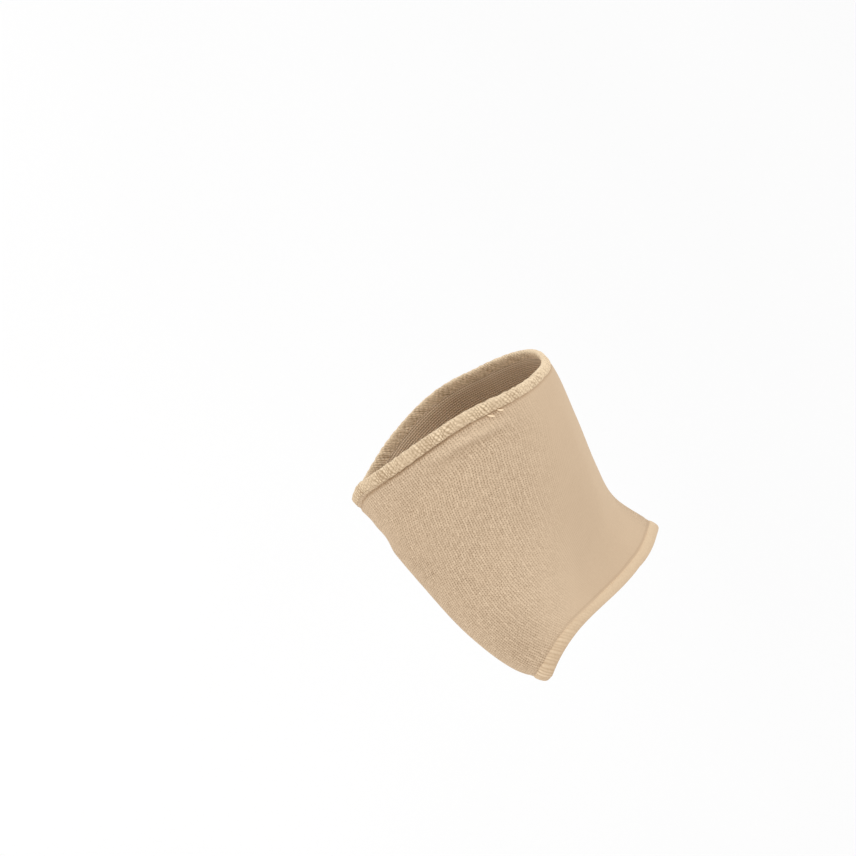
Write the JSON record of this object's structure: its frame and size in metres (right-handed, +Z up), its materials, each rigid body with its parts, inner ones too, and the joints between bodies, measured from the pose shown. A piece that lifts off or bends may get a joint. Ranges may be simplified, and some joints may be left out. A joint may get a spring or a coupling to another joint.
{
  "type": "metatarsal support band",
  "caption": "Short elastic knit sleeve for the forefoot, open at ankle and toe ends, with a rolled overlocked hem and a smooth turned hem, in its worn form.",
  "frame": {"origin": "on the inside of the sole, midway between the hems, where the ball of the foot stands", "axes": "+X towards the toes, +Y towards the big-toe side of a right foot, +Z up towards the instep"},
  "size_m": [0.1131, 0.0902, 0.0768],
  "materials": {
    "knit": "fine matt rib knit, beige",
    "overlock": "overlocked thread, warm beige",
    "welt": "smooth turned knit, pale beige"
  },
  "bodies": {
    "root": {"knit_sleeve": "knit", "ankle_hem": "overlock", "toe_hem": "welt"}
  },
  "joints": []
}
